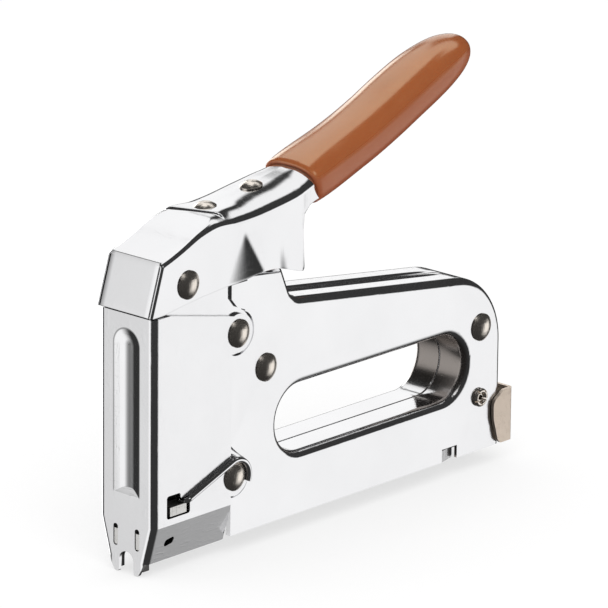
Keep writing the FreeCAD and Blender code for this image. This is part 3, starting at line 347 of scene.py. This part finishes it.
HOLE_REAR = (0.100, 0.104)
HOLE_WALL = (0.0118, 0.0126)
# Brown of the painted shade inside the hand hole.
HOLE_SHADE_BROWN = (0.22, 0.185, 0.16)


def hole_shade(metal):
    """Painted shade: the rear end of the hand hole's flange, where it faces the nose, is tinted a dull brown
    inside in place of the dark reflection there, and made rougher.
    """
    graph = metal.graph
    forward, across = graph.axes(metal.place)[:2]
    hole_shade_mask = graph.times(
        graph.smooth(graph.facing(TO_THE_NOSE), 0.25, 0.75),
        graph.smooth(forward, *HOLE_REAR),
        graph.smooth(graph.apart(across), *HOLE_WALL, 1.0, 0.0))
    # Painted shade: the inner flange is darkened towards brown.
    metal.tint(graph.times(hole_shade_mask, 0.85), HOLE_SHADE_BROWN)
    metal.rough = graph.plus(metal.rough, graph.times(hole_shade_mask, 0.15))


GROOVE_DOME = 0.0807
GROOVE_RADIUS = 0.0060
GROOVE_FOOT = (0.0275, 0.0290)
LINE_WIDTH = (0.0001, 0.00045)
LINE_STRENGTH = 0.62
# Grey of the painted shade line in the groove's crease.
CREASE_SHADE_GREY = (0.10, 0.10, 0.10)


def groove_crease_shade(metal):
    """Painted shade: a dark line in the crease round the pressed groove of the front plate."""
    graph = metal.graph
    across, upright = graph.axes(metal.place)[1:]
    above = graph.math("MAXIMUM", graph.minus(upright, GROOVE_DOME), 0.0)
    reach = graph.math("SQRT", graph.plus(graph.times(across, across), graph.times(above, above)))
    crease_shade = graph.times(
        graph.smooth(graph.apart(graph.minus(reach, GROOVE_RADIUS)), *LINE_WIDTH, LINE_STRENGTH, 0.0),
        graph.smooth(upright, *GROOVE_FOOT))
    # Painted shade: the crease round the groove is darkened.
    metal.tint(crease_shade, CREASE_SHADE_GREY)


BEHIND_PLATE = (0.0011, 0.0014)
COVER_INSIDE = (0.0080, 0.0086)


def shade_behind_plate(metal):
    """Painted shade: the back of the front plate, between the cover's side walls, is painted dark as if in
    shadow.
    """
    graph = metal.graph
    forward, across = graph.axes(metal.place)[:2]
    inside = graph.smooth(graph.apart(across), *COVER_INSIDE, 1.0, 0.0)
    # Painted shade: black behind the front plate.
    metal.tint(graph.times(graph.smooth(forward, *BEHIND_PLATE), inside), SHADE_BLACK)


GRAIN_SCALE = 1900.0
GRAIN_STRENGTH = 0.35
GRAIN_HEIGHT = 0.00012


def satin_grain(metal):
    """Blasted pits of a satin finish."""
    pits = metal.graph.noise(metal.place, GRAIN_SCALE, 2.0, 0.6)
    metal.normal = metal.graph.bump(pits, GRAIN_STRENGTH, GRAIN_HEIGHT, metal.normal)


NOSE_REACH = (0.020, 0.030)
NOSE_TONE = (0.80, 0.79, 0.77)
NOSE_POLISH = 0.12
CHANNEL_HALF = (0.0066, 0.0072)
CHANNEL_FRONT = (0.0010, 0.0014)


def bright_nose_shaded_channel(metal):
    """Brighter than the satin near the nose, with painted shade in black inside the staple channel."""
    graph = metal.graph
    forward, across = graph.axes(metal.place)[:2]
    near = graph.smooth(forward, *NOSE_REACH, 1.0, 0.0)
    channel_shade = graph.times(
        near,
        graph.smooth(graph.apart(across), *CHANNEL_HALF, 1.0, 0.0),
        graph.smooth(forward, *CHANNEL_FRONT))
    metal.tint(near, NOSE_TONE)
    # Painted shade: the staple channel is painted black.
    metal.tint(channel_shade, SHADE_BLACK)
    metal.rough = graph.minus(metal.rough, graph.times(near, NOSE_POLISH))


def plated(name, colour, rough, wave, scratch, *steps):
    """Metal finish with roughness from low to high, and the further steps of its kind."""
    metal = Metal(name, colour, rough, wave, scratch)
    for step in steps:
        step(metal)
    return metal.finish()


# ------------------------------------------------------------------ vinyl and rubber
# How far a surface faces up where the grip's matt flank turns into its polished top.
FLANK_TO_TOP = (0.05, 0.45)
FLANK_MATT = 0.34
# Share of the grip's colour on its flanks: painted shade that makes the downward sides darker and deeper.
FLANK_SHADE_TINT = (0.95, 0.45, 0.15)
VINYL_IOR = 2.35
VINYL_SHEEN = (1.0, 0.92, 0.58)
VINYL_SCATTER = (0.004, 0.0015, 0.0008)


def vinyl(name, colour):
    """Dipped vinyl: faint cloud, soft skin and tiny pits, its top polished by hands, its flanks matt and
    painted darker as painted shade.
    """
    material, graph = new_material(name)
    place = graph.place()
    flank = graph.smooth(graph.facing((0.0, 0.0, 1.0)), *FLANK_TO_TOP, 1.0, 0.0)
    tone = graph.mix_colour(graph.noise(place, 60.0, 4.0, 0.6), opaque(colour, 0.86), opaque(colour, 1.12))
    flank_shade_colour = opaque([channel_shade * share for channel_shade, share in zip(colour, FLANK_SHADE_TINT)])
    rough = graph.spread(graph.noise(place, 140.0, 3.0, 0.5), 0.16, 0.26)
    shader = graph.add("ShaderNodeBsdfPrincipled", {
        # Painted shade: the flanks take the darker colour.
        "Base Color": graph.mix_colour(flank, tone, flank_shade_colour),
        "Roughness": graph.plus(rough, graph.times(flank, FLANK_MATT)),
        "IOR": VINYL_IOR, "Specular Tint": opaque(VINYL_SHEEN),
        "Subsurface Weight": 0.08, "Subsurface Radius": VINYL_SCATTER, "Subsurface Scale": 0.5,
        "Coat Weight": 0.4, "Coat Roughness": 0.08, "Coat IOR": 1.5,
        "Normal": graph.bump(graph.noise(place, 900.0, 3.0, 0.55), 0.10, 0.0002),
    })
    graph.finish("ShaderNodeOutputMaterial", shader)
    return material


def rubber(name, colour):
    """Matt rubber with a fine moulded skin."""
    material, graph = new_material(name)
    cloud = graph.noise(graph.place(), 300.0, 4.0, 0.6)
    shader = graph.add("ShaderNodeBsdfPrincipled", {
        "Base Color": graph.mix_colour(cloud, opaque(colour, 0.7), opaque(colour, 1.4)),
        "Roughness": 0.75,
        "Normal": graph.bump(cloud, 0.3, 0.0003),
    })
    graph.finish("ShaderNodeOutputMaterial", shader)
    return material


# ------------------------------------------------------------------ finishes by slot
CHROME = (0.88, 0.88, 0.89)
# Slot: colour, roughness from and to, strength of the waves and of the scratches, further steps.
METALS = {
    "chrome_side": (CHROME, (0.05, 0.12), 0.06, 0.08, flange_roll, joggle_haze, hole_shade),
    "chrome_cover": (CHROME, (0.05, 0.12), 0.06, 0.08, groove_crease_shade, shade_behind_plate),
    "chrome_handle": (CHROME, (0.06, 0.13), 0.03, 0.04),
    "plain_steel": ((0.62, 0.62, 0.63), (0.25, 0.40), 0.05, 0.2),
    "rivet_nickel": ((0.90, 0.83, 0.75), (0.18, 0.28), 0.0, 0.2),
    "dark_steel": ((0.30, 0.30, 0.31), (0.30, 0.45), 0.0, 0.2),
    "spring_steel": ((0.42, 0.42, 0.44), (0.25, 0.40), 0.0, 0.2),
    "satin_nickel": ((0.92, 0.79, 0.67), (0.28, 0.42), 0.05, 0.3, satin_grain, bright_nose_shaded_channel),
    "spring_chrome": ((0.92, 0.92, 0.93), (0.04, 0.07), 0.0, 0.0),
}
MATERIALS = {slot: plated(slot, *finish) for slot, finish in METALS.items()}
MATERIALS["grip_vinyl"] = vinyl("grip_vinyl", (0.33, 0.086, 0.024))
MATERIALS["bumper_rubber"] = rubber("bumper_rubber", (0.04, 0.04, 0.04))

SLOT_OF = {part["node"]: part["material_slot"] for part in frame["record"]["subparts"]}
for node, thing in NODES.items():
    thing.data.materials.clear()
    thing.data.materials.append(MATERIALS[SLOT_OF[node]])

# ------------------------------------------------------------------ mesh helpers
MM = 0.001


def follow(table, place):
    """Smooth value through a table of (place, value, ...) rows; returns the values after the place."""
    if place <= table[0][0]:
        return table[0][1:]
    if place >= table[-1][0]:
        return table[-1][1:]
    index = next(number for number, row in enumerate(table) if place <= row[0]) - 1
    low, high = table[index], table[index + 1]
    before = table[max(index - 1, 0)]
    after = table[min(index + 2, len(table) - 1)]
    span = high[0] - low[0]
    share = (place - low[0]) / span
    square, cube = share ** 2, share ** 3
    values = []
    for column in range(1, len(low)):
        slope_low = (high[column] - before[column]) / (high[0] - before[0]) * span
        slope_high = (after[column] - low[column]) / (after[0] - low[0]) * span
        values.append((2 * cube - 3 * square + 1) * low[column] + (cube - 2 * square + share) * slope_low
                      + (3 * square - 2 * cube) * high[column] + (cube - square) * slope_high)
    return tuple(values)


def straight(table, place):
    """Value through a table of (place, value) rows on straight lines."""
    if place <= table[0][0]:
        return table[0][1]
    for low, high in zip(table, table[1:]):
        if place <= high[0]:
            return low[1] + (high[1] - low[1]) * (place - low[0]) / (high[0] - low[0])
    return table[-1][1]


def ramp(value, low, high):
    """Smooth step from 0 to 1."""
    share = min(max((value - low) / (high - low), 0.0), 1.0)
    return share * share * (3.0 - 2.0 * share)


def new_piece(name, shape, slot, body):
    """Object from a bmesh in millimetres, with the finish of its slot, riding on its body."""
    for vertex in shape.verts:
        vertex.co *= MM
    bmesh.ops.recalc_face_normals(shape, faces=shape.faces)
    for face in shape.faces:
        face.smooth = True
    mesh = bpy.data.meshes.new(name)
    shape.to_mesh(mesh)
    shape.free()
    piece = bpy.data.objects.new(name, mesh)
    scene.collection.objects.link(piece)
    mesh.materials.append(MATERIALS[slot])
    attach(piece, body)
    return piece


def skin(shape, rows, closed):
    """Quads between rows of points; closed joins each row's end to its start."""
    grid = [[shape.verts.new(point) for point in row] for row in rows]
    for near, far in zip(grid, grid[1:]):
        count = len(near)
        for index in range(count if closed else count - 1):
            following = (index + 1) % count
            shape.faces.new((near[index], near[following], far[following], far[index]))
    return grid


# ------------------------------------------------------------------ grip
# X, centre height, half height, half width, squareness of the section.
GRIP = [
    (81.3, 121.0, 7.9, 12.3, 2.6), (86.0, 122.6, 8.3, 12.6, 2.6), (93.0, 124.8, 8.6, 12.5, 2.5),
    (103.0, 128.0, 8.6, 12.2, 2.4), (113.0, 131.5, 8.6, 12.0, 2.4), (124.0, 136.0, 8.6, 11.9, 2.4),
    (134.0, 140.6, 8.6, 11.9, 2.4), (145.0, 145.4, 8.5, 11.6, 2.4), (153.0, 148.6, 8.1, 10.9, 2.3),
    (160.0, 151.3, 7.0, 9.4, 2.3), (164.5, 152.9, 5.6, 7.6, 2.2), (167.3, 153.8, 4.0, 5.4, 2.1),
    (168.9, 154.3, 2.0, 2.8, 2.0),
]
GRIP_LIP = 1.7
LIP_STEPS = 8
LIP_FRONT = 0.8
SLEEVE_INSIDE = (9.0, 3.0, 0.8)
GRIP_SPACING = 1.6
TIP_START = 160.0
TIP_STEPS = 10
TIP_POINT = Vector((0.7, 0.0, 0.2))
AROUND = 72


def grip_ring(forward, inset=0.0, back=0.0):
    """Closed ring of points round the grip at X, inset from its surface and moved back towards the tip."""
    height, half_high, half_wide, square = follow(GRIP, forward)
    lean = math.atan2(follow(GRIP, forward + 0.5)[0] - follow(GRIP, forward - 0.5)[0], 1.0)
    if forward < GRIP[0][0] + 0.5:
        lean = math.atan2(GRIP[1][1] - GRIP[0][1], GRIP[1][0] - GRIP[0][0])
    ring = []
    for step in range(AROUND):
        angle = 2.0 * math.pi * step / AROUND
        side, rise = math.cos(angle), math.sin(angle)
        wide = (half_wide - inset) * math.copysign(abs(side) ** (2.0 / square), side)
        high = (half_high - inset) * math.copysign(abs(rise) ** (2.0 / square), rise)
        ring.append(Vector((
            forward - high * math.sin(lean) + back * math.cos(lean),
            wide,
            height + high * math.cos(lean) + back * math.sin(lean))))
    return ring


def make_grip():
    """Dipped sleeve: out of its mouth, round the rolled lip and along to the closed tip."""
    shape = bmesh.new()
    mouth = GRIP[0][0]
    rows = [grip_ring(mouth, GRIP_LIP, place) for place in SLEEVE_INSIDE]
    for step in range(1, LIP_STEPS):
        angle = math.pi * step / LIP_STEPS
        half = GRIP_LIP / 2.0
        rows.append(grip_ring(mouth, half + half * math.cos(angle), LIP_FRONT - LIP_FRONT * math.sin(angle)))
    stations = [mouth + 0.6]
    while stations[-1] < TIP_START:
        stations.append(stations[-1] + GRIP_SPACING)
    start = stations[-1]
    left = GRIP[-1][0] - start
    for step in range(1, TIP_STEPS + 1):
        stations.append(start + left * math.sin(math.pi / 2.0 * step / TIP_STEPS))
    rows += [grip_ring(forward) for forward in stations]
    last = skin(shape, rows, True)[-1]
    tip = shape.verts.new(sum((vertex.co for vertex in last), Vector()) / AROUND + TIP_POINT)
    for index in range(AROUND):
        shape.faces.new((last[index], last[(index + 1) % AROUND], tip))
    piece = new_piece("grip_sleeve", shape, "grip_vinyl", "handle")
    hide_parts("handle_grip")


# ------------------------------------------------------------------ handle hood and skirt
# X and height of the hood's top.
RIDGE = [
    (-4.0, 109.6), (4.6, 112.3), (16.0, 115.5), (26.0, 118.7), (31.0, 120.2), (34.0, 120.7), (40.0, 121.3),
    (50.0, 122.3), (60.0, 123.7), (70.0, 125.2), (80.0, 127.4), (90.0, 130.8), (100.0, 134.2),
]
# X, how far the rounding between top and side reaches across and down.
BEND = [
    (-4.0, 1.7, 1.7), (20.0, 1.9, 1.9), (28.0, 2.6, 2.4), (34.0, 5.6, 3.2), (40.0, 8.4, 4.1),
    (50.0, 10.6, 4.6), (60.0, 11.2, 4.8), (70.0, 11.0, 5.0), (80.0, 10.2, 5.6), (100.0, 10.2, 6.0),
]
# X and half width.
SIDE_HALF = [
    (30.0, 12.7), (36.5, 12.7), (46.0, 13.1), (56.0, 13.4), (66.0, 13.4), (72.0, 13.0), (76.0, 12.2),
    (82.0, 11.2), (100.0, 11.0),
]
# X and height of the skirt's lower edge, which rises steeply behind FOOT_CORNER.
FOOT = [
    (-2.0, 92.7), (5.0, 92.8), (12.0, 93.8), (22.3, 95.1), (30.1, 95.7), (38.0, 96.4), (44.5, 97.2),
    (51.5, 98.7), (58.0, 98.3), (64.5, 96.6), (69.6, 95.0), (71.0, 94.9), (71.7, 95.4), (72.0, 96.4),
    (72.3, 101.6), (72.8, 108.6), (74.1, 113.6), (77.6, 116.0), (80.6, 116.8), (84.0, 117.4), (100.0, 122.2),
]
FOOT_CORNER = 70.9
# The skirt swells outwards behind a dent that widens from its tip down to the foot, and has one fold.
DENT_TIP = (43.9, 113.4)
DENT_FOOT = (35.6, 51.5)
DENT_FOOT_HEIGHT = 98.0
SWELL = 2.1
SWELL_POWER = 1.7
SWELL_END = (66.0, 84.0)
FOLD_PLACE = 58.8
FOLD_WIDTH = 2.6
FOLD_DEPTH = 0.42
# The crease runs slanted across the top and lifts the sheet, which sinks back by CREASE_END behind it.
CREASE_PLACE = 32.6
CREASE_SLANT = -0.25
CREASE_WIDTH = 0.8
CREASE_LIFT = 0.6
CREASE_END = 14.0
HOOD_FRONT = -1.3
HOOD_LEAN = 6.3 / 19.7
LEAN_END = 24.0
HOOD_FOOT = 92.7
HANDLE_SHEET = 0.85
EDGE_ANGLE = math.radians(50.0)
RIM = 0.9
RIM_STEPS = 6
PLATE_HALF = 12.7
PLATE_TOP_PLACE = 5.0
PLATE_GAP = 0.5
PLATE_COLUMNS = 10
PLATE_LEVELS = 8
SIDE_STEPS = 24
BEND_STEPS = 14
TOP_STEPS = 28
STATION = 0.7
FINE_STATION = 0.25
FINE_STRETCH = (29.0, 37.0)
LAST_STATION = 70.0
REAR_STATIONS = [
    70.9, 71.3, 71.7, 72.0, 72.3, 72.8, 73.4, 74.1, 75.0, 76.2, 77.6, 79.0, 80.6, 82.5, 85.0, 88.0, 92.0,
]


def side_half(forward, height):
    """Half width of the skirt at X and Z."""
    half = follow(SIDE_HALF, forward)[0]
    share = (DENT_TIP[1] - height) / (DENT_TIP[1] - DENT_FOOT_HEIGHT)
    if share <= 0.0:
        return half
    front, rear = [DENT_TIP[0] + (end - DENT_TIP[0]) * share for end in DENT_FOOT]
    along = min(max((forward - front) / (rear - front), 0.0), 1.0)
    swell = SWELL * share * along ** SWELL_POWER * (1.0 - ramp(forward, *SWELL_END))
    fold = FOLD_DEPTH * math.exp(-((forward - FOLD_PLACE) / FOLD_WIDTH) ** 2) * ramp(share, 0.25, 1.0)
    return half + swell - fold


def hood_row(forward, inset=0.0, ahead=0.0):
    """Points of one section, from the left foot over the top to the right foot."""
    ridge = follow(RIDGE, forward)[0] - inset
    reach, drop = [max(value - inset, 0.3) for value in follow(BEND, forward)]
    foot = straight(FOOT, forward) if forward > FOOT_CORNER else follow(FOOT, forward)[0]
    shoulder = ridge - drop
    half = []
    for step in range(SIDE_STEPS):
        height = foot + (shoulder - foot) * step / SIDE_STEPS
        half.append((side_half(forward, height) - inset, height))
    flat = side_half(forward, shoulder) - inset - reach
    for step in range(BEND_STEPS):
        angle = math.pi / 2.0 * step / BEND_STEPS
        half.append((flat + reach * math.cos(angle), shoulder + drop * math.sin(angle)))
    for step in range(TOP_STEPS // 2 + 1):
        half.append((flat * (1.0 - 2.0 * step / TOP_STEPS), ridge))
    row = [(-wide, height) for wide, height in half] + [(wide, height) for wide, height in reversed(half[:-1])]
    lean = HOOD_LEAN * (1.0 - ramp(forward, HOOD_FRONT, LEAN_END))
    points = []
    for wide, height in row:
        start = CREASE_PLACE + CREASE_SLANT * wide
        full = start + CREASE_WIDTH
        on_top = ramp(height, ridge - 1.2, ridge - 0.1)
        lift = CREASE_LIFT * on_top * (ramp(forward, start, full) - ramp(forward, full, start + CREASE_END))
        points.append(Vector((forward + lean * (height - HOOD_FOOT) - ahead, wide, height + lift)))
    return points


def give_sheet(piece, even, edge, segments):
    """Turn a skin into sheet of the handle's thickness with rounded edges."""
    solid = piece.modifiers.new("sheet", "SOLIDIFY")
    solid.thickness = HANDLE_SHEET * MM
    solid.offset = -1.0
    solid.use_even_offset = even
    rounding = piece.modifiers.new("edges", "BEVEL")
    rounding.width = edge * MM
    rounding.segments = segments
    rounding.limit_method = "ANGLE"
    rounding.angle_limit = EDGE_ANGLE


def make_hood():
    """Top, shoulders and skirt in one sheet, whose front edge curls in as a rim."""
    shape = bmesh.new()
    rows = []
    for step in range(RIM_STEPS, 0, -1):
        angle = math.pi / 2.0 * step / RIM_STEPS
        rows.append(hood_row(HOOD_FRONT + RIM, RIM * (1.0 - math.cos(angle)), RIM * math.sin(angle)))
    stations = [HOOD_FRONT + RIM]
    while stations[-1] < LAST_STATION:
        fine = FINE_STRETCH[0] < stations[-1] < FINE_STRETCH[1]
        stations.append(stations[-1] + (FINE_STATION if fine else STATION))
    rows += [hood_row(forward) for forward in stations + REAR_STATIONS]
    skin(shape, rows, False)
    piece = new_piece("handle_hood", shape, "chrome_handle", "handle")
    give_sheet(piece, True, 0.18, 2)
    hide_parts("handle_shell")


def make_front_plate():
    """Plate folded down in front of the hood, set in its rim with a fine seam."""
    shape = bmesh.new()
    inner = PLATE_HALF - RIM - PLATE_GAP
    top = follow(RIDGE, PLATE_TOP_PLACE)[0] - RIM - PLATE_GAP
    columns = [-inner + 2.0 * inner * step / PLATE_COLUMNS for step in range(PLATE_COLUMNS + 1)]
    levels = [HOOD_FOOT + (top - HOOD_FOOT) * step / PLATE_LEVELS for step in range(PLATE_LEVELS + 1)]
    rows = [[Vector((HOOD_FRONT + HOOD_LEAN * (level - HOOD_FOOT), wide, level)) for wide in columns]
            for level in levels]
    skin(shape, rows, False)
    piece = new_piece("hood_front_plate", shape, "chrome_handle", "handle")
    give_sheet(piece, False, 0.3, 3)


make_grip()
make_hood()
make_front_plate()
